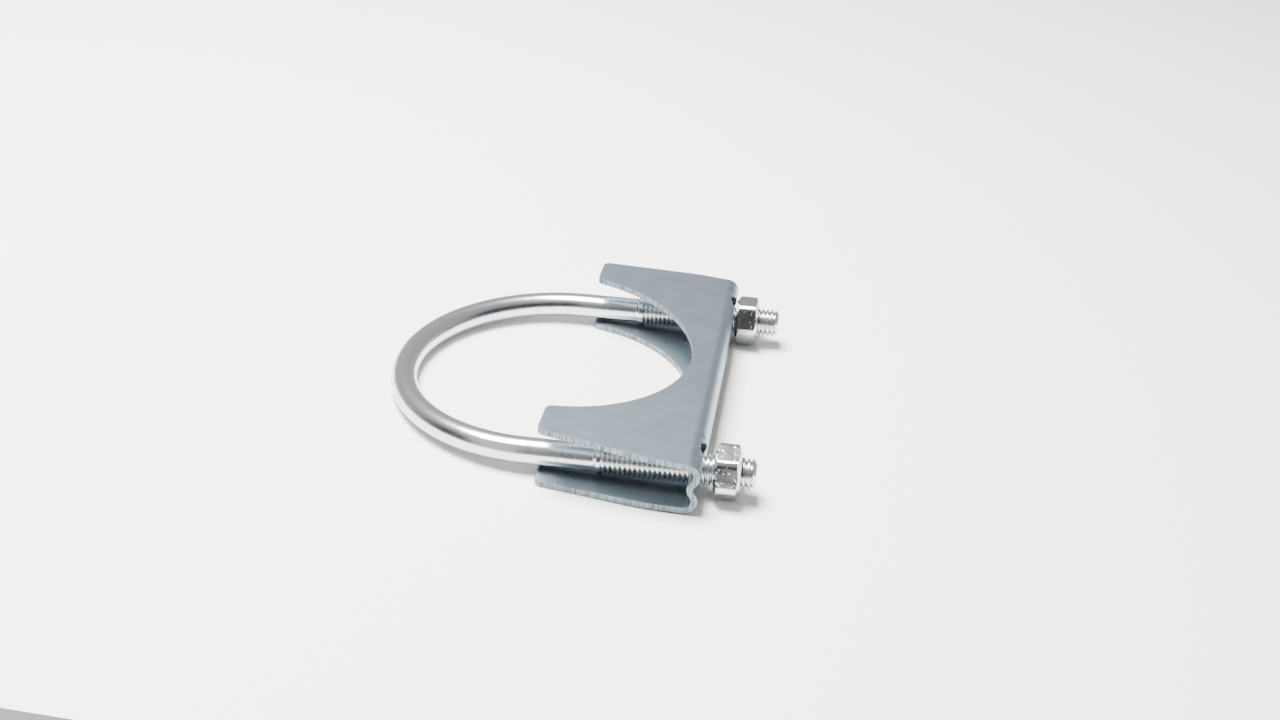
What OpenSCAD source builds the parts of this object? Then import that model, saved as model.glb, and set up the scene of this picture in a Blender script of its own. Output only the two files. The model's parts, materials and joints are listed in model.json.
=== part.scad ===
/* [Thread and rod] */
// Largest diameter of the thread on the legs
thread_d = 7.9; // [7.5:0.1:8.2]
// Diameter of the plain rod, thinner than the rolled thread
rod_d = 7.1; // [6:0.1:7.2]
// Radial clearance between a nut and its leg
nut_clearance = 0.05; // [0.02:0.01:0.1]

/* [U-bolt] */
// Distance between the centre lines of the two legs
leg_spacing = 84; // [83.6:0.1:84.5]
// From the bend's centre to the free end of each leg
leg_length = 58.6; // [56:0.1:80]
// From the bend's centre to the first thread of the leg at -Y
near_thread_start = 19; // [17:0.1:19]
// From the bend's centre to the first thread of the leg at +Y
far_thread_start = 17.1; // [17:0.1:19]
// Chamfer at the free end of each leg
end_chamfer = 0.9; // [0.4:0.1:1.5]

/* [Saddle] */
// Thickness of the pressed sheet
sheet = 1.6; // [1.5:0.05:1.7]
// Outside height of the channel at its web
web_height = 14.1; // [13.8:0.1:15]
// Angle by which each flange opens away from the channel's middle plane
flange_splay = 2.1; // [1.8:0.1:2.3]
// From the web's back to the jaw tips
saddle_depth = 41.2; // [38:0.1:41.5]
// Half width of the saddle at its web
web_half_width = 53; // [52:0.2:58]
// Half width of the saddle at its jaw tips
jaw_half_width = 49.4; // [49:0.2:51.6]
// Distance from the web's back at which the outer edges start to taper towards the jaws
taper_start = 13; // [8:0.5:20]
// Radius of the arc that the pipe sits in
seat_r = 38.2; // [37:0.1:38.3]
// From the web's back to the lowest point of that arc
seat_floor = 8.7; // [7:0.1:10]
// Half width of the oblong leg holes in the web
hole_r = 4.45; // [4.3:0.05:4.8]
// Half height of the oblong leg holes, whose ends run up onto the folds
hole_half_height = 6.2; // [5:0.1:6.3]
// Depth of the rib pressed into the back of the web
rib_depth = 1; // [0.5:0.1:1.4]
// Outside radius of the two folds between web and flanges
fold_r = 3.6; // [3.2:0.1:4]
// Radius of the rounded corners at the jaw tips
jaw_corner_r = 2; // [1:0.1:2.5]

/* [Nuts] */
// Width across the flats of each nut
nut_flats = 13; // [12.5:0.1:13.1]
// Width across the worn corners of each nut
nut_corners = 14.4; // [14.3:0.05:14.5]
// Thickness of each nut
nut_height = 6.6; // [6:0.1:8]
// From the bend's centre to the inner face of the nut at -Y
near_nut_at = 48.3; // [46.1:0.1:49]
// From the bend's centre to the inner face of the nut at +Y
far_nut_at = 46.1; // [46:0.1:49]
// Angle of the near nut's first flat above level
near_nut_turn = 16; // [0:1:59]
// Angle of the far nut's first flat above level
far_nut_turn = 29; // [0:1:59]

/* [Pose] */
// Distance from the bend's centre to the web's back, along the legs
web_at = 45.4; // [45.2:0.1:45.5]
// Height of the leg centre lines where they cross the web's back
leg_height = 7; // [7:0.05:7.2]
// Gap under the bend
bend_lift = 0.05; // [0:0.01:0.1]
// How far the back of the lower flange stands above its jaw tips
heel_lift = 0.55; // [0.3:0.05:0.6]

/* [Hidden] */
$fn = 96;
bend_r = leg_spacing / 2;
rod_r = rod_d / 2;
thread_r = thread_d / 2;
// The legs slope up from the bend, which lies just above the level of the jaw tips, z = 0
leg_slope = atan((leg_height - rod_r - bend_lift) / (bend_r + web_at));
bend_height = bend_lift + rod_r + bend_r * sin(leg_slope);
// The origin is the middle of the whole part's plan
bend_end_x = -bend_r * cos(leg_slope) - rod_r;
leg_end_x = leg_length * cos(leg_slope) + (thread_r - end_chamfer) * sin(leg_slope);
bend_centre_x = -(bend_end_x + leg_end_x) / 2;
// The channel's middle plane tilts by the splay less the heel's lift, and the lower jaw tips lie at z = 0
fold_z = web_height / 2 - fold_r;
channel_tilt = flange_splay - asin(heel_lift / saddle_depth);
flange_reach = saddle_depth - fold_r * (1 - sin(flange_splay));
jaw_z = fold_z + fold_r * cos(flange_splay) + flange_reach * tan(flange_splay);
channel_height = jaw_z * cos(channel_tilt) - saddle_depth * sin(channel_tilt);
plan_reach = saddle_depth + 8;
seat_x = -seat_floor - seat_r;
taper = atan((web_half_width - jaw_half_width) / (saddle_depth - taper_start));
taper_blend_r = 60;
corner_steps = 8;
// The nuts' 30 degree chamfers start a little inside the flats
nut_corner_r = nut_corners / 2;
chamfer_r = nut_flats / 2 * 0.9;
chamfer_rise = (nut_corner_r - chamfer_r) * tan(30);

color_rod = "gainsboro";
color_saddle = "lightsteelblue";
color_nut = "silver";

// Places children drawn in the plane of the U: origin at the bend's centre, legs along +X
module on_legs() {
    translate([bend_centre_x, 0, bend_height]) rotate([0, -leg_slope, 0]) children();
}

// Places children drawn in the channel's frame: origin at the middle of the web's back
module on_saddle() {
    translate([bend_centre_x + web_at * cos(leg_slope), 0, channel_height])
        rotate([0, channel_tilt, 0]) children();
}

// One leg's round shaft: plain rod, thread at its largest diameter, and chamfered free end
module leg(thread_start) {
    rotate([90, 0, 90]) rotate_extrude()
        polygon([
            [0, -0.01],
            [rod_r, -0.01],
            [rod_r, thread_start - (thread_r - rod_r)],
            [thread_r, thread_start],
            [thread_r, leg_length - end_chamfer],
            [thread_r - end_chamfer, leg_length],
            [0, leg_length]
        ]);
}

module u_bolt() {
    color(color_rod) on_legs() union() {
        rotate([0, 0, 90]) rotate_extrude(angle = 180) translate([bend_r, 0]) circle(r = rod_r);
        translate([0, -bend_r, 0]) leg(near_thread_start);
        translate([0, bend_r, 0]) leg(far_thread_start);
    }
}

// The channel's section in X and Z, filled from one flange's surface to the other's.
// depth is the distance in from the sheet's outer surface: 0 for the outside, sheet for the inside.
module channel_outline(depth) {
    r = fold_r - depth;
    reach = plan_reach + depth;
    function flange_point(side) = [-fold_r + r * sin(flange_splay), side * (fold_z + r * cos(flange_splay))];
    function flange_end(side) = [-reach, flange_point(side).y + side * (reach - fold_r) * tan(flange_splay)];
    for (side = [-1, 1]) translate([-fold_r, side * fold_z]) circle(r = r);
    polygon([
        [-rib_depth - depth, -fold_z],
        [-rib_depth - depth, fold_z],
        flange_point(1),
        flange_end(1),
        flange_end(-1),
        flange_point(-1)
    ]);
}

// Points along a circular arc
function arc(centre, r, from, to) = [
    for (i = [0 : corner_steps]) let (a = from + (to - from) * i / corner_steps)
        centre + r * [cos(a), sin(a)]
];

// Plan of the +Y side of the saddle, from the web along the outer edge and round the jaw's tip
// to the pipe seat. The last arc reaches just inside the seat, which is cut out afterwards.
blend_centre = [taper_blend_r * tan(taper / 2) - taper_start, web_half_width - taper_blend_r];
corner_x = -saddle_depth + jaw_corner_r;
outer_corner_y = jaw_half_width + jaw_corner_r * (tan(taper) - 1 / cos(taper));
inner_corner_y = sqrt(pow(seat_r + jaw_corner_r, 2) - pow(corner_x - seat_x, 2));
inner_corner_angle = 180 + atan2(inner_corner_y, corner_x - seat_x);
side_plan = concat(
    [[1, web_half_width]],
    arc(blend_centre, taper_blend_r, 90, 90 + taper),
    arc([corner_x, outer_corner_y], jaw_corner_r, 90 + taper, 180),
    arc([corner_x, inner_corner_y], jaw_corner_r + 0.02, 180, inner_corner_angle)
);

// Plan of both sides: the second side is the first one mirrored, in reverse order
module saddle_plan() {
    last = len(side_plan) - 1;
    polygon(concat(
        side_plan,
        [[seat_x, 0]],
        [for (i = [0 : last]) [side_plan[last - i].x, -side_plan[last - i].y]]
    ));
}

// An oblong hole through the web, symmetric about the channel's middle plane
module leg_hole() {
    depth = fold_r * 2;
    end_z = hole_half_height - hole_r;
    for (z = [-end_z, end_z]) translate([0, 0, z]) rotate([0, 90, 0]) cylinder(r = hole_r, h = depth);
    translate([0, -hole_r, -end_z]) cube([depth, hole_r * 2, end_z * 2]);
}

module saddle() {
    color(color_saddle) on_saddle() difference() {
        intersection() {
            rotate([90, 0, 0]) linear_extrude(height = web_half_width * 2 + 2, center = true)
                difference() {
                    channel_outline(0);
                    channel_outline(sheet);
                }
            translate([0, 0, -web_height]) linear_extrude(height = web_height * 2) saddle_plan();
        }
        translate([seat_x, 0, -web_height]) cylinder(r = seat_r, h = web_height * 2);
        for (side = [-1, 1]) translate([-fold_r, side * bend_r, 0]) leg_hole();
    }
}

// A hex nut with its axis along +X, its inner face at X = 0, and the flat that faces -Y raised by turn
module hex_nut(turn) {
    rotate([-turn, 0, 0]) rotate([90, 0, 90]) difference() {
        intersection() {
            rotate([0, 0, 30]) cylinder(r = nut_flats / sqrt(3), h = nut_height, $fn = 6);
            rotate_extrude() polygon([
                [0, 0],
                [chamfer_r, 0],
                [nut_corner_r, chamfer_rise],
                [nut_corner_r, nut_height - chamfer_rise],
                [chamfer_r, nut_height],
                [0, nut_height]
            ]);
        }
        translate([0, 0, -1]) cylinder(r = thread_r + nut_clearance, h = nut_height + 2);
    }
}

module nut_near() {
    color(color_nut) on_legs() translate([near_nut_at, -bend_r, 0]) hex_nut(near_nut_turn);
}

module nut_far() {
    color(color_nut) on_legs() translate([far_nut_at, bend_r, 0]) hex_nut(far_nut_turn);
}

u_bolt();
saddle();
nut_near();
nut_far();
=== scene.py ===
import json
import math

import bmesh
import bpy
import numpy as np
from mathutils import Matrix, Vector


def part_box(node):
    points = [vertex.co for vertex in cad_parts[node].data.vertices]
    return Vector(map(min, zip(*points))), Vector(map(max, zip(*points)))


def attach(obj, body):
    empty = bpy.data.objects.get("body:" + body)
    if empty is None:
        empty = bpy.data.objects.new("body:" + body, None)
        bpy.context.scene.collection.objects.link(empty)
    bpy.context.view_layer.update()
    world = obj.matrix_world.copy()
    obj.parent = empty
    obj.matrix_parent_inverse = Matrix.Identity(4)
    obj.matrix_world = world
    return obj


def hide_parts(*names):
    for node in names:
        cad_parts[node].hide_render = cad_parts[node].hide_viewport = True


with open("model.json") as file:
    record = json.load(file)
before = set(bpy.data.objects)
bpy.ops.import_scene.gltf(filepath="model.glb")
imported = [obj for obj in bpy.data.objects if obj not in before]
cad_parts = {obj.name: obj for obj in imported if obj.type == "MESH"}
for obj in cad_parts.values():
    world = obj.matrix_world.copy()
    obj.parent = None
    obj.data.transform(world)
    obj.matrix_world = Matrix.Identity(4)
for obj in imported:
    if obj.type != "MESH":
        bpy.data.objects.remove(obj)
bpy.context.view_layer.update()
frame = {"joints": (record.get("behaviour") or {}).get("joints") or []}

mm = 0.001
joints = {joint["name"]: joint for joint in frame["joints"]}


def linearColour(hexCode):
    # sRGB hex to linear: the two-part sRGB curve on each channel
    channels = [int(hexCode[i:i + 2], 16) / 255 for i in (1, 3, 5)]
    linear = [c / 12.92 if c <= 0.04045 else ((c + 0.055) / 1.055) ** 2.4 for c in channels]
    return (*linear, 1.0)


def addNode(tree, kind, settings=None, links=None):
    # one node: settings are plain properties or input values, links are input name to output socket
    node = tree.nodes.new(kind)
    for key, value in (settings or {}).items():
        if isinstance(key, str) and hasattr(node, key):
            setattr(node, key, value)
        else:
            node.inputs[key].default_value = value
    for key, socket in (links or {}).items():
        tree.links.new(socket, node.inputs[key])
    return node


def gridQuads(rows, columns, first=0):
    # quads of a grid of rows by columns points, numbered row after row from first
    corner = (np.arange(rows - 1)[:, None] * columns + np.arange(columns - 1)[None, :]).ravel() + first
    return np.stack([corner, corner + 1, corner + columns + 1, corner + columns], axis=1)


def tilted(points, origin, tilt):
    # turns points about Y so that +X rises by tilt, then moves them to origin
    x, y, z = points[..., 0], points[..., 1], points[..., 2]
    c, s = math.cos(tilt), math.sin(tilt)
    return np.stack([x * c - z * s, y, x * s + z * c], axis=-1) + np.array(origin)


def makePiece(name, patches, body, node, material, creaseAngle, cutPatches=()):
    # patches are point grids; they are welded where their points meet, and turned to face outwards
    vertices, quads, cutEdge, first = [], [], [], 0
    for index, patch in enumerate(patches):
        rows, columns = patch.shape[:2]
        vertices.append(patch.reshape(-1, 3))
        quads.append(gridQuads(rows, columns, first))
        cutEdge.append(np.full(len(quads[-1]), float(index in cutPatches)))
        first += rows * columns
    mesh = bpy.data.meshes.new(name)
    mesh.from_pydata(np.concatenate(vertices).tolist(), [], np.concatenate(quads).tolist())
    mesh.attributes.new("cutEdge", "FLOAT", "FACE").data.foreach_set("value", np.concatenate(cutEdge))
    work = bmesh.new()
    work.from_mesh(mesh)
    bmesh.ops.remove_doubles(work, verts=work.verts, dist=2e-6)
    bmesh.ops.dissolve_degenerate(work, edges=work.edges, dist=1e-7)
    bmesh.ops.recalc_face_normals(work, faces=work.faces)
    openEdges = sum(1 for edge in work.edges if not edge.is_manifold)
    work.to_mesh(mesh)
    work.free()
    mesh.shade_smooth()
    mesh.set_sharp_from_angle(angle=math.radians(creaseAngle))
    piece = bpy.data.objects.new(name, mesh)
    bpy.context.scene.collection.objects.link(piece)
    mesh.materials.append(material)
    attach(piece, body)
    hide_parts(node)
    print(name, "faces", len(mesh.polygons), "open edges", openEdges)
    return piece


# where the parts stand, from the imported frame
legAxis = joints["saddle_slide"]["axis"]
legSlope = math.atan2(legAxis[2], legAxis[0])
bendRadius = abs(joints["nut_near_turn"]["pos_m"][1])
rodLow, rodHigh = (np.array(corner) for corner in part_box("u_bolt"))
saddleLow, saddleHigh = (np.array(corner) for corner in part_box("saddle"))

uBolt = {
    "rodDiameter": 7.1,
    "pitch": 1.25,
    "threadDepth": 0.74,
    "threadStarts": {-1: 19.0, 1: 17.1},      # on the leg at -Y and on the leg at +Y
    "ringLength": 1.0,        # smooth raised ring that the rolling dies leave before the first groove
    "endChamfer": 0.9,
    "columns": 64,
}
rodRadius = uBolt["rodDiameter"] / 2 * mm
threadRadius = rodHigh[1] - bendRadius
endChamfer = uBolt["endChamfer"] * mm
pitch = uBolt["pitch"] * mm
bendOrigin = (
    rodLow[0] + bendRadius * math.cos(legSlope) + rodRadius,
    0.0,
    rodLow[2] + bendRadius * math.sin(legSlope) + rodRadius,
)
legEnd = (rodHigh[0] - bendOrigin[0] - (threadRadius - endChamfer) * math.sin(legSlope)) / math.cos(legSlope)


# one pitch of the rolled thread: places along the pitch, and the share of the full depth there
threadPlaces = np.array([0.0, 0.13, 0.19, 0.31, 0.43, 0.47, 0.53, 0.57, 0.69, 0.81, 0.87])
threadShares = np.array([0.0, 0.01, 0.08, 0.50, 0.92, 1.0, 1.0, 0.92, 0.50, 0.08, 0.01])


def helixGrid(start, end, columns):
    # rows follow the thread: along = pitch * (turn + place + angle / full circle),
    # held between start and end
    angle = np.linspace(0, 2 * math.pi, columns + 1)[None, :]
    turns = np.arange(math.floor(start / pitch) - 2, math.ceil(end / pitch) + 2)
    row = (turns[:, None] + threadPlaces[None, :]).reshape(-1, 1)
    along = np.clip(pitch * (row + angle / (2 * math.pi)), start, end)
    return along, np.broadcast_to(angle, along.shape)


def grooveShare(along, angle):
    # how deep the groove is there: 0 on the crest and 1 in the root, read off the thread's profile
    place = np.mod(along / pitch - angle / (2 * math.pi), 1.0)
    return np.interp(place, np.append(threadPlaces, 1.0), np.append(threadShares, 0.0))


def tube(along, angle, radius, side):
    # a point round one leg: along the leg, and radius * (cos, sin) of angle about its centre line
    return np.stack([along, side * bendRadius + radius * np.cos(angle), radius * np.sin(angle)], axis=-1)


def smoothStep(value, start, end):
    # 0 before start, 1 after end, and 3t^2 - 2t^3 between
    t = np.clip((value - start) / (end - start), 0, 1)
    return t * t * (3 - 2 * t)


def makeUBolt(material):
    # each leg is a tube whose radius swells to the thread's ring and drops into the helical groove
    ring = uBolt["ringLength"] * mm
    patches = []
    for side, place in uBolt["threadStarts"].items():
        start = place * mm
        plainEnd = start - 1.5 * mm
        along, angle = helixGrid(plainEnd, legEnd, uBolt["columns"])
        # 0.02 mm keeps the crests just inside the thread's largest diameter
        swell = smoothStep(along, start - 0.9 * mm, start - 0.1 * mm)
        fade = smoothStep(along, start + ring - 0.3 * mm, start + ring + 0.5 * mm)
        radius = rodRadius + (threadRadius - 0.02 * mm - rodRadius) * swell
        radius = radius - uBolt["threadDepth"] * mm * fade * grooveShare(along, angle)
        radius = np.minimum(radius, threadRadius - endChamfer + (legEnd - along))
        patches.append(tube(along, angle, radius, side))
        # the end face is a flat disc in rings, closed at its middle
        capShare = np.array([1.0, 0.94, 0.6, 0.3, 0.0])[:, None]
        capAngle = np.broadcast_to(angle[:1], (len(capShare), angle.shape[1]))
        capRadius = capShare * (threadRadius - endChamfer) * np.ones_like(capAngle)
        patches.append(tube(legEnd + 0.0 * capAngle, capAngle, capRadius, side))
        plain = np.linspace(0, plainEnd, 12)[:, None] * np.ones_like(angle[:1])
        patches.append(tube(plain, np.broadcast_to(angle[:1], plain.shape), rodRadius, side))
    # the bend: a circle of the rod's radius carried round half a turn
    turn = np.linspace(math.pi / 2, 3 * math.pi / 2, 161)[:, None]
    ringAngle = angle[:1]
    reach = bendRadius + rodRadius * np.cos(ringAngle)
    bend = np.stack([
        reach * np.cos(turn),
        reach * np.sin(turn),
        rodRadius * np.sin(ringAngle) * np.ones_like(turn),
    ], axis=-1)
    patches.append(bend)
    patches = [tilted(patch, bendOrigin, legSlope) for patch in patches]
    return makePiece("uBoltRod", patches, "u_bolt", "u_bolt", material, 50)


nut = {
    "acrossFlats": 13.0,
    "height": 6.6,
    "chamferStart": 0.86,     # radius where the 30 degree chamfer starts, as a share of half the flats
    "cornerRound": 0.36,
    "boreClearance": 0.05,
    "threadDepth": 0.5,
    "countersink": 0.5,
    "turns": {"near": 16.0, "far": 29.0},
}


def hexRadius(angle, apothem, cornerRound):
    # distance to a hexagon's side along angle, with the corners cut back to a smooth curve
    offset = np.mod(angle, math.pi / 3) - math.pi / 6
    sharp = apothem / np.cos(offset)
    corner = apothem / math.cos(math.pi / 6)
    limit = corner - cornerRound
    blend = 0.5 * cornerRound
    # smooth minimum of the flat and a round limit
    mix = np.clip(0.5 + 0.5 * (limit - sharp) / blend, 0, 1)
    return sharp * mix + limit * (1 - mix) - blend * mix * (1 - mix)


def makeNut(which, material):
    # rings of points at radius(angle) along the leg: mouth, face, cone, flats, cone, face and mouth,
    # then the thread inside
    node, body = "nut_" + which, "nut_" + which
    side = -1 if which == "near" else 1
    low, high = (np.array(corner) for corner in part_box(node))
    middle = ((low + high) / 2 - np.array(bendOrigin)) @ np.array(legAxis)
    height = nut["height"] * mm
    base = middle - height / 2
    apothem = nut["acrossFlats"] / 2 * mm
    chamferRadius = apothem * nut["chamferStart"]
    bore = threadRadius + nut["boreClearance"] * mm
    mouth = bore + nut["countersink"] * 0.4 * mm
    columns = 192
    angle = np.linspace(0, 2 * math.pi, columns + 1)
    # the flat that faces -Y is raised by the nut's turn: flats lie at pi - turn + k * 60 degrees
    hexAngle = angle - (math.pi - math.radians(nut["turns"][which])) + math.pi / 6
    outer = hexRadius(hexAngle, apothem, nut["cornerRound"] * mm)
    rise = np.clip(outer - chamferRadius, 0, None) * math.tan(math.radians(30))
    faceRings = np.linspace(0, 1, 5)[:, None]
    chamferRings = np.linspace(0, 1, 7)[:, None]
    sideRings = np.linspace(0, 1, 9)[:, None]
    ones = np.ones_like(angle)[None, :]

    def rings(radius, along):
        # radius and along give each point's distance from the centre line and from the nut's inner face
        return tube(base + along, angle[None, :] * np.ones_like(radius), radius, side)

    seatEdge = np.minimum(outer, chamferRadius)[None, :]
    faceRadius = mouth + (seatEdge - mouth) * faceRings
    coneRadius = seatEdge + (outer[None, :] - seatEdge) * chamferRings
    coneRise = rise[None, :] * chamferRings
    sideAlong = rise[None, :] + (height - 2 * rise[None, :]) * sideRings
    mouthRings = np.linspace(0, 1, 3)[:, None]
    sink = nut["countersink"] * mm
    mouthRadius = bore + (mouth - bore) * (1 - mouthRings) * ones
    mouthAlong = sink * mouthRings * ones
    # each band starts on the ring that the one before it ends on, so that ring is left out
    patches = [np.concatenate([
        rings(mouthRadius, mouthAlong)[::-1],
        rings(faceRadius, 0 * faceRadius),
        rings(coneRadius, coneRise)[1:],
        rings(outer[None, :] * np.ones_like(sideRings), sideAlong)[1:],
        rings(coneRadius, height - coneRise)[::-1][1:],
        rings(faceRadius, height + 0 * faceRadius)[::-1][1:],
        rings(mouthRadius, height - mouthAlong)[1:],
    ])]
    # the nut's own thread: its ridges fill the leg's grooves, so it is cut in step with them
    start, end = base + sink, base + height - sink
    along, helixAngle = helixGrid(start, end, columns)
    ends = smoothStep(along, start, start + 0.35 * mm) * (1 - smoothStep(along, end - 0.35 * mm, end))
    radius = bore - nut["threadDepth"] * mm * ends * grooveShare(along, helixAngle)
    patches.append(tube(along, helixAngle, radius, side))
    patches = [tilted(patch, bendOrigin, legSlope) for patch in patches]
    return makePiece("hexNut_" + which, patches, body, node, material, 24)


saddle = {
    "sheet": 1.6,
    "height": 14.1,
    "splay": 2.1,
    "heelLift": 0.55,
    "foldRadius": 3.6,
    "ribDepth": 1.4,
    "depth": 41.2,
    "jawHalfWidth": 49.4,
    "taperStart": 13.0,
    "taperBlend": 60.0,
    "seatRadius": 38.2,
    "seatFloor": 8.7,
    "jawCorner": 2.0,
    "holeHalfWidth": 4.45,
    "holeHalfHeight": 6.5,
    "holeMargins": (0.55, 1.3),  # sheet kept round each hole in Z and in Y before the even grid starts
    "columns": 48,
    "edgeRound": 0.22,
}


def saddleSection():
    # outside line of the pressed section from the upper jaw tip to the lower one, with outward normals:
    # straight flange, round fold, lobe, and the rib's round valley, then the same downwards
    r, s = saddle["foldRadius"] * mm, math.radians(saddle["splay"])
    lobeZ = saddle["height"] / 2 * mm - r
    dip = saddle["ribDepth"] * mm
    # the valley's circle touches both lobes: (r + v)^2 = (r - dip + v)^2 + lobeZ^2
    valley = (lobeZ ** 2 + dip ** 2) / (2 * dip) - r
    valleyX = valley - dip
    lobeEnd = math.atan2(lobeZ, valleyX + r)
    seatX = -(saddle["seatFloor"] + saddle["seatRadius"]) * mm
    seatR = saddle["seatRadius"] * mm
    corner = saddle["jawCorner"] * mm
    cornerX = -saddle["depth"] * mm + corner
    cornerY = math.sqrt((seatR + corner) ** 2 - (cornerX - seatX) ** 2)
    meetX = cornerX - corner * (cornerX - seatX) / (seatR + corner)
    meetAngle = math.acos((meetX - seatX) / seatR)
    tipTurn = np.linspace(math.pi / 2, math.asin((cornerX - meetX) / corner), 9)
    foldX = -r + r * math.sin(s)
    flangeX = np.concatenate([
        cornerX - corner * np.sin(tipTurn),
        seatX + seatR * np.cos(np.linspace(meetAngle, 0, 73))[1:],
        np.linspace(-saddle["seatFloor"] * mm, foldX, 7)[1:],
    ])
    flangeZ = lobeZ + r * math.cos(s) + (foldX - flangeX) * math.tan(s)
    foldTurn = np.linspace(math.pi / 2 - s, -lobeEnd, 27)[1:]
    valleyTurn = np.linspace(math.pi - lobeEnd, math.pi, 7)[1:]
    x = np.concatenate([flangeX, -r + r * np.cos(foldTurn), valleyX + valley * np.cos(valleyTurn)])
    z = np.concatenate([flangeZ, lobeZ + r * np.sin(foldTurn), valley * np.sin(valleyTurn)])
    normalX = np.concatenate([np.full_like(flangeX, math.sin(s)), np.cos(foldTurn), -np.cos(valleyTurn)])
    normalZ = np.concatenate([np.full_like(flangeX, math.cos(s)), np.sin(foldTurn), -np.sin(valleyTurn)])
    # inner end of each row: the seat's arc, the jaw's inner corner, or the middle of the web
    arcY = np.sqrt(np.clip(seatR ** 2 - (x - seatX) ** 2, 0, None))
    bendY = cornerY - np.sqrt(np.clip(corner ** 2 - (x - cornerX) ** 2, 0, None))
    inside = np.where(x < meetX - 1e-9, bendY, np.where(x < -saddle["seatFloor"] * mm - 1e-9, arcY, 0.0))
    # outer end of each row: straight, then a large blend into the taper, then the jaw's outer corner
    half, jaw = saddleHigh[1], saddle["jawHalfWidth"] * mm
    taperX, blend = saddle["taperStart"] * mm, saddle["taperBlend"] * mm
    taper = math.atan((half - jaw) / (saddle["depth"] * mm - taperX))
    blendX = blend * math.tan(taper / 2) - taperX
    outerY = jaw + corner * (math.tan(taper) - 1 / math.cos(taper))
    blended = half - blend + np.sqrt(np.clip(blend ** 2 - (x - blendX) ** 2, 0, None))
    outside = np.where(x > blendX, half, blended)
    outside = np.where(x < blendX - blend * math.sin(taper), half + (x + taperX) * math.tan(taper), outside)
    rounded = outerY + np.sqrt(np.clip(corner ** 2 - (x - cornerX) ** 2, 0, None))
    outside = np.where(x < cornerX - corner * math.sin(taper), rounded, outside)
    upper = np.stack([x, z, normalX, normalZ, inside, outside], axis=1)
    lower = upper[:-1][::-1] * np.array([1, -1, 1, -1, 1, 1])
    return np.concatenate([upper, lower]), len(flangeX)


def sheetPoint(x, y, z, normalX, normalZ, depth):
    # a point of the sheet that lies depth in from its outside face
    return np.stack([x - depth * normalX, y, z - depth * normalZ], axis=-1)


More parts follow.
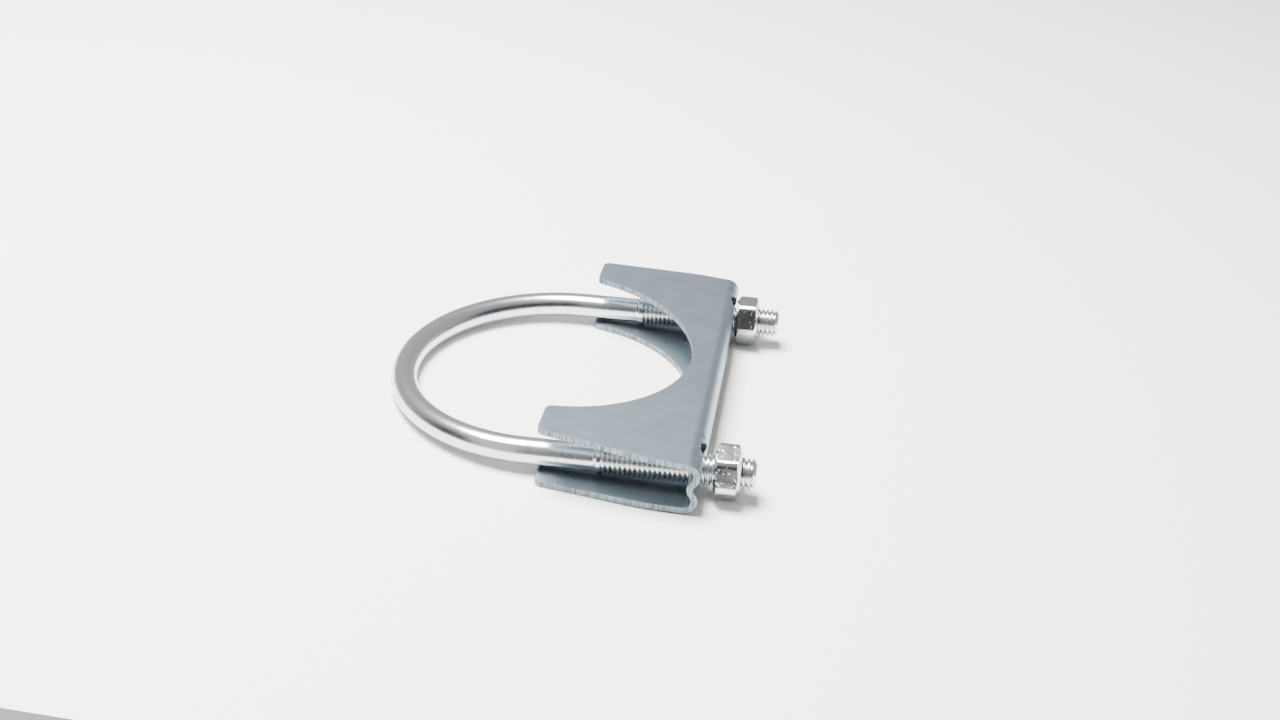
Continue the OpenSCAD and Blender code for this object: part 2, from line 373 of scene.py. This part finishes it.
def makeSaddle(material):
    # both faces of the sheet are the section carried across in y = inside + (outside - inside) * share,
    # with a fan of rings round each leg hole, and walls join the two faces along every cut edge
    rows, flangeCount = saddleSection()
    x, z, normalX, normalZ, inside, outside = (column[:, None] for column in rows.T)
    share = np.linspace(0, 1, saddle["columns"] + 1)[None, :]
    thickness = saddle["sheet"] * mm
    count, last = len(rows), saddle["columns"]
    seatRow = int(np.argmax(rows[:, 4] == 0.0))
    holeY = bendRadius
    halfWidth, halfHeight = saddle["holeHalfWidth"] * mm, saddle["holeHalfHeight"] * mm
    # the patch of grid round each hole, which rings of points replace
    web = slice(flangeCount, count - flangeCount)
    marginZ, marginY = saddle["holeMargins"]
    top = flangeCount + int(np.argmax(rows[web, 1] < halfHeight + marginZ * mm))
    bottom = count - 1 - top
    y = inside + (outside - inside) * share
    left = int(np.searchsorted(y[top], holeY - halfWidth - marginY * mm))
    right = int(np.searchsorted(y[top], holeY + halfWidth + marginY * mm))
    loop = [(top, c) for c in range(left, right)] + [(r, right) for r in range(top, bottom)]
    loop += [(bottom, c) for c in range(right, left, -1)] + [(r, left) for r in range(bottom, top - 1, -1)]
    loopRow, loopColumn = np.array(loop).T
    away = np.stack([y[loopRow, loopColumn] - holeY, rows[loopRow, 1]], axis=1)
    # where the line from the hole's middle to each loop point crosses the oblong: straight side or round end
    endZ = halfHeight - halfWidth
    dy, dz = np.abs(away[:, 0]) + 1e-12, np.abs(away[:, 1])
    straight = halfWidth / dy
    size = dy ** 2 + dz ** 2
    inRoot = (endZ * dz) ** 2 - size * (endZ ** 2 - halfWidth ** 2)
    roundEnd = (endZ * dz + np.sqrt(np.clip(inRoot, 0, None))) / size
    reach = np.where(straight * dz <= endZ, straight, roundEnd)
    ringShare = np.array([0.0, 0.08, 0.25, 0.55, 1.0])[:, None]
    factor = reach[None, :] + (1 - reach[None, :]) * ringShare
    ringY, ringZ = holeY + factor * away[:, 0], factor * away[:, 1]
    order = np.argsort(rows[web, 1])
    webZ = rows[web, 1][order]
    ringX, ringNormalX, ringNormalZ = (np.interp(ringZ, webZ, rows[web, k][order]) for k in (0, 2, 3))
    patches, cut = [], []
    for side in (-1, 1):
        depths = (0, thickness)
        faces = [sheetPoint(x + 0 * y, side * y, z + 0 * y, normalX, normalZ, depth) for depth in depths]
        rings = [sheetPoint(ringX, side * ringY, ringZ, ringNormalX, ringNormalZ, depth) for depth in depths]
        for face, ring in zip(faces, rings):
            patches += [face[:top + 1], face[bottom:], face[top:bottom + 1, :left + 1],
                        face[top:bottom + 1, right:], ring]
        across = np.linspace(0, 1, 5)[:, None, None]

        def wall(outer, inner):
            # straight across the sheet's thickness from one face's edge to the other's
            return outer[None] + (inner[None] - outer[None]) * across

        seatEnd = count - seatRow
        walls = [
            wall(faces[0][:, last], faces[1][:, last]),
            wall(faces[0][:seatRow + 1, 0], faces[1][:seatRow + 1, 0]),
            wall(faces[0][seatEnd - 1:, 0], faces[1][seatEnd - 1:, 0]),
            wall(faces[0][0], faces[1][0]),
            wall(faces[0][-1], faces[1][-1]),
            wall(rings[0][0], rings[1][0]),
        ]
        cut += list(range(len(patches), len(patches) + len(walls)))
        patches += walls
    s, depth = math.radians(saddle["splay"]), saddle["depth"] * mm
    tilt = s - math.asin(saddle["heelLift"] / saddle["depth"])
    r, lobeZ = saddle["foldRadius"] * mm, (saddle["height"] / 2 - saddle["foldRadius"]) * mm
    jawZ = lobeZ + r * math.cos(s) + (depth - r * (1 - math.sin(s))) * math.tan(s)
    origin = (
        saddleHigh[0] - r + r * math.cos(tilt) - lobeZ * math.sin(tilt),
        0.0,
        saddleLow[2] + jawZ * math.cos(tilt) - depth * math.sin(tilt),
    )
    patches = [tilted(patch, origin, -tilt) for patch in patches]
    piece = makePiece("pressedSaddle", patches, "saddle", "saddle", material, 40, cut)
    edges = piece.modifiers.new("edgeRound", "BEVEL")
    edges.width = saddle["edgeRound"] * mm
    edges.segments = 3
    edges.limit_method = "ANGLE"
    edges.angle_limit = math.radians(45)
    edges.harden_normals = False
    return piece


finishes = {
    "rod": {
        "colour": "#cfd1d2",
        "roughness": (0.16, 0.27),      # lowest and highest
        "dents": 2.2,                   # mm across
        "dentHeight": 0.028,
        "grain": 0.30,
    },
    "saddle": {
        "colour": "#8e9aa3",
        # the cut-edge colours are darker than the sheet: partly the rough cut finish, partly painted shade
        "shadedCutDark": "#4f585d",
        "shadedCutLight": "#878f94",
        "roughness": (0.39, 0.42),
        "mottle": 6.0,
        "mottleHeight": 0.004,
        "streak": 0.45,
        "streakHeight": 0.05,
    },
    "nut": {
        "colour": "#c9cccd",
        "roughness": (0.12, 0.21),
        "dents": 2.6,
        "dentHeight": 0.004,
        "dings": 1.2,
        "dingDepth": 0.03,
    },
}


def newMaterial(name):
    # a bare metal surface and the piece's own Object coordinates, which each finish then builds on
    material = bpy.data.materials.new(name)
    material.use_nodes = True
    tree = material.node_tree
    tree.nodes.clear()
    output = addNode(tree, "ShaderNodeOutputMaterial")
    surface = addNode(tree, "ShaderNodeBsdfPrincipled", {"Metallic": 1.0})
    tree.links.new(surface.outputs[0], output.inputs[0])
    place = addNode(tree, "ShaderNodeTexCoord").outputs["Object"]
    return material, tree, surface, place


def drawnRodZinc():
    # bright zinc over cold-drawn rod: near-mirror, with faint shallow unevenness that breaks up reflections
    look = finishes["rod"]
    low, high = look["roughness"]
    material, tree, surface, place = newMaterial("drawnRodZinc")
    surface.inputs["Base Color"].default_value = linearColour(look["colour"])
    dents = addNode(
        tree, "ShaderNodeTexNoise",
        {"Scale": 1 / (look["dents"] * mm), "Detail": 3.0, "Roughness": 0.55}, {"Vector": place},
    )
    bump = addNode(
        tree, "ShaderNodeBump",
        {"Strength": 1.0, "Distance": look["dentHeight"] * mm}, {"Height": dents.outputs[0]},
    )
    fine = addNode(
        tree, "ShaderNodeTexNoise", {"Scale": 1 / (look["grain"] * mm), "Detail": 2.0}, {"Vector": place},
    )
    rough = addNode(
        tree, "ShaderNodeMapRange",
        {"From Min": 0.3, "From Max": 0.7, "To Min": low, "To Max": high}, {"Value": fine.outputs[0]},
    )
    tree.links.new(rough.outputs[0], surface.inputs["Roughness"])
    tree.links.new(bump.outputs[0], surface.inputs["Normal"])
    return material


def pressedSheetZinc():
    # satin zinc over rolled and pressed sheet: soft grey-blue; the cut edges carry shear streaks, and their
    # colour is darkened as painted shade
    look = finishes["saddle"]
    low, high = look["roughness"]
    material, tree, surface, place = newMaterial("pressedSheetZinc")
    cutEdge = addNode(tree, "ShaderNodeAttribute", {"attribute_name": "cutEdge"}).outputs["Fac"]
    mottle = addNode(
        tree, "ShaderNodeTexNoise", {"Scale": 1 / (look["mottle"] * mm), "Detail": 4.0}, {"Vector": place},
    )
    # shear marks run across the sheet's thickness: fine lines drawn a little coarser than real ones
    stretch = addNode(tree, "ShaderNodeMapping", {"Scale": (1.0, 1.0, 0.12)}, {"Vector": place})
    shear = addNode(
        tree, "ShaderNodeTexNoise",
        {"Scale": 1 / (look["streak"] * mm), "Detail": 2.0}, {"Vector": stretch.outputs[0]},
    )
    shearShare = addNode(
        tree, "ShaderNodeMapRange", {"From Min": 0.35, "From Max": 0.65}, {"Value": shear.outputs[0]},
    )
    # painted shade: the cut edges take these darkened colours, streaked along the shear marks
    shearStreaksAndShade = addNode(
        tree, "ShaderNodeMix",
        {"data_type": "RGBA", 6: linearColour(look["shadedCutDark"]), 7: linearColour(look["shadedCutLight"])},
        {0: shearShare.outputs[0]},
    )
    tone = addNode(
        tree, "ShaderNodeMix",
        {"data_type": "RGBA", 6: linearColour(look["colour"])}, {0: cutEdge, 7: shearStreaksAndShade.outputs[2]},
    )
    shearHeight = addNode(
        tree, "ShaderNodeMath", {"operation": "MULTIPLY"}, {0: shear.outputs[0], 1: cutEdge},
    )
    bump = addNode(
        tree, "ShaderNodeBump",
        {"Strength": 1.0, "Distance": look["streakHeight"] * mm}, {"Height": shearHeight.outputs[0]},
    )
    soft = addNode(
        tree, "ShaderNodeBump",
        {"Strength": 1.0, "Distance": look["mottleHeight"] * mm},
        {"Height": mottle.outputs[0], "Normal": bump.outputs[0]},
    )
    rough = addNode(
        tree, "ShaderNodeMapRange",
        {"From Min": 0.3, "From Max": 0.7, "To Min": low, "To Max": high}, {"Value": mottle.outputs[0]},
    )
    tree.links.new(tone.outputs[2], surface.inputs["Base Color"])
    tree.links.new(rough.outputs[0], surface.inputs["Roughness"])
    tree.links.new(soft.outputs[0], surface.inputs["Normal"])
    return material


def forgedNutZinc():
    # bright zinc over a forged and chamfered nut: fairly sharp reflections, with small dings
    look = finishes["nut"]
    low, high = look["roughness"]
    material, tree, surface, place = newMaterial("forgedNutZinc")
    surface.inputs["Base Color"].default_value = linearColour(look["colour"])
    dents = addNode(
        tree, "ShaderNodeTexNoise",
        {"Scale": 1 / (look["dents"] * mm), "Detail": 4.0, "Roughness": 0.6}, {"Vector": place},
    )
    bump = addNode(
        tree, "ShaderNodeBump",
        {"Strength": 1.0, "Distance": look["dentHeight"] * mm}, {"Height": dents.outputs[0]},
    )
    # a ding is a spot where a second noise rises well above its middle
    spots = addNode(
        tree, "ShaderNodeTexNoise", {"Scale": 1 / (look["dings"] * mm), "Detail": 1.0}, {"Vector": place},
    )
    ding = addNode(
        tree, "ShaderNodeMapRange",
        {"From Min": 0.62, "From Max": 0.72, "To Min": 1.0, "To Max": 0.0}, {"Value": spots.outputs[0]},
    )
    pitted = addNode(
        tree, "ShaderNodeBump",
        {"Strength": 1.0, "Distance": look["dingDepth"] * mm},
        {"Height": ding.outputs[0], "Normal": bump.outputs[0]},
    )
    rough = addNode(
        tree, "ShaderNodeMapRange",
        {"From Min": 0.3, "From Max": 0.7, "To Min": low, "To Max": high}, {"Value": dents.outputs[0]},
    )
    tree.links.new(rough.outputs[0], surface.inputs["Roughness"])
    tree.links.new(pitted.outputs[0], surface.inputs["Normal"])
    return material


print("finishes")
rodFinish, saddleFinish, nutFinish = drawnRodZinc(), pressedSheetZinc(), forgedNutZinc()
print("u-bolt")
makeUBolt(rodFinish)
print("nuts")
for which in ("near", "far"):
    makeNut(which, nutFinish)
print("saddle")
makeSaddle(saddleFinish)


stage = {
    "floorFront": -0.15,      # the table ends a little in front of the part
    "floorBack": 3.0,
    "floorSide": 3.0,
    "floorColour": "#f6f6f3",
    "floorRoughness": 0.65,
    "floorDrop": 0.02,        # mm below the part, so that touching faces don't fight
    "lamp": {"size": 0.45, "height": 0.85, "power": 52.0, "x": -0.25, "y": 0.04},
    # brightness at places up the sky, from 0 a little below level to 1 straight up
    "skyBack": [(0.0, 0.8), (0.2, 0.75), (0.45, 0.60), (0.7, 0.60), (1.0, 0.45)],
    "skyFront": [(0.0, 0.05), (0.17, 0.05), (0.62, 0.05), (0.75, 0.4), (1.0, 0.45)],
    # the card's four soft limits: part of the direction, where its share is 0 and where it is 1
    "cardLimits": [(0, -0.19, -0.25), (0, -0.75, -0.62), (1, -0.2, -0.4), (2, 0.8, 0.7)],
    "cardTone": 1.1,
}


def makeFloor():
    # a flat pale table, one face wide enough that only its front edge is near
    half, front, back = stage["floorSide"], stage["floorFront"], stage["floorBack"]
    drop = -stage["floorDrop"] * mm
    mesh = bpy.data.meshes.new("floor")
    corners = [(-half, front, drop), (half, front, drop), (half, back, drop), (-half, back, drop)]
    mesh.from_pydata(corners, [], [(0, 1, 2, 3)])
    floor = bpy.data.objects.new("floor", mesh)
    bpy.context.scene.collection.objects.link(floor)
    material, _, surface, _ = newMaterial("paleTable")
    surface.inputs["Metallic"].default_value = 0.0
    surface.inputs["Roughness"].default_value = stage["floorRoughness"]
    surface.inputs["Base Color"].default_value = linearColour(stage["floorColour"])
    mesh.materials.append(material)


def makeSky():
    # a white room: pale at the horizon, greyer overhead and behind, dark on the side that the camera is on
    world = bpy.data.worlds.new("studio")
    bpy.context.scene.world = world
    world.use_nodes = True
    tree = world.node_tree
    tree.nodes.clear()
    direction = addNode(tree, "ShaderNodeTexCoord").outputs["Generated"]
    parts = addNode(tree, "ShaderNodeSeparateXYZ", {}, {0: direction})
    height = addNode(
        tree, "ShaderNodeMapRange", {"From Min": -0.2, "From Max": 1.0}, {"Value": parts.outputs[2]},
    )

    def ramp(stops):
        # brightness by height in the sky, straight between the stops
        node = addNode(tree, "ShaderNodeValToRGB", {}, {0: height.outputs[0]})
        elements = node.color_ramp.elements
        while len(elements) < len(stops):
            elements.new(0.5)
        for element, (place, tone) in zip(elements, stops):
            element.position = place
            element.color = (tone, tone, tone * 1.02, 1)
        return node.outputs[0]

    back, front = ramp(stage["skyBack"]), ramp(stage["skyFront"])
    facing = addNode(
        tree, "ShaderNodeMapRange",
        {"From Min": 0.25, "From Max": -0.35, "interpolation_type": "SMOOTHSTEP"},
        {"Value": parts.outputs[1]},
    )
    room = addNode(tree, "ShaderNodeMix", {"data_type": "RGBA"}, {0: facing.outputs[0], 6: back, 7: front})
    # a tall white card stands in front to the left: its share is the product of its soft limits
    share = None
    for part, low, high in stage["cardLimits"]:
        limit = addNode(
            tree, "ShaderNodeMapRange", {"From Min": low, "From Max": high}, {"Value": parts.outputs[part]},
        ).outputs[0]
        if share is None:
            share = limit
            continue
        both = addNode(tree, "ShaderNodeMath", {"operation": "MULTIPLY"}, {0: share, 1: limit})
        share = both.outputs[0]
    card = (stage["cardTone"],) * 3 + (1,)
    sky = addNode(
        tree, "ShaderNodeMix", {"data_type": "RGBA", 7: card}, {0: share, 6: room.outputs[2]},
    )
    background = addNode(tree, "ShaderNodeBackground", {"Strength": 1.0}, {0: sky.outputs[2]})
    output = addNode(tree, "ShaderNodeOutputWorld")
    tree.links.new(background.outputs[0], output.inputs[0])


def makeLamp():
    # one square softbox that hangs above the part and shines straight down
    lamp = stage["lamp"]
    data = bpy.data.lights.new("softbox", "AREA")
    data.shape = "SQUARE"
    data.size = lamp["size"]
    data.energy = lamp["power"]
    light = bpy.data.objects.new("softbox", data)
    light.location = (lamp["x"], lamp["y"], lamp["height"])
    bpy.context.scene.collection.objects.link(light)


camera = {
    "azimuth": 6.302,
    "elevation": 28.699,
    "roll": 4.498,
    "lens": 40.634,
    "place": (54.246, -344.374, 201.822),
}


def makeCamera():
    # right and up are turned by the roll about the line of sight
    a, e, r = (math.radians(camera[k]) for k in ("azimuth", "elevation", "roll"))
    back = Vector((math.sin(a) * math.cos(e), -math.cos(a) * math.cos(e), math.sin(e)))
    level = Vector((math.cos(a), math.sin(a), 0))
    above = back.cross(level)
    right = level * math.cos(r) + above * math.sin(r)
    up = above * math.cos(r) - level * math.sin(r)
    data = bpy.data.cameras.new("camera")
    data.lens = camera["lens"]
    data.clip_start = 0.01
    data.clip_end = 20
    view = bpy.data.objects.new("camera", data)
    turn = Matrix((right, up, back)).transposed()
    view.matrix_world = Matrix.Translation(Vector(camera["place"]) * mm) @ turn.to_4x4()
    bpy.context.scene.collection.objects.link(view)
    bpy.context.scene.camera = view


print("stage")
makeFloor()
makeSky()
makeLamp()
makeCamera()
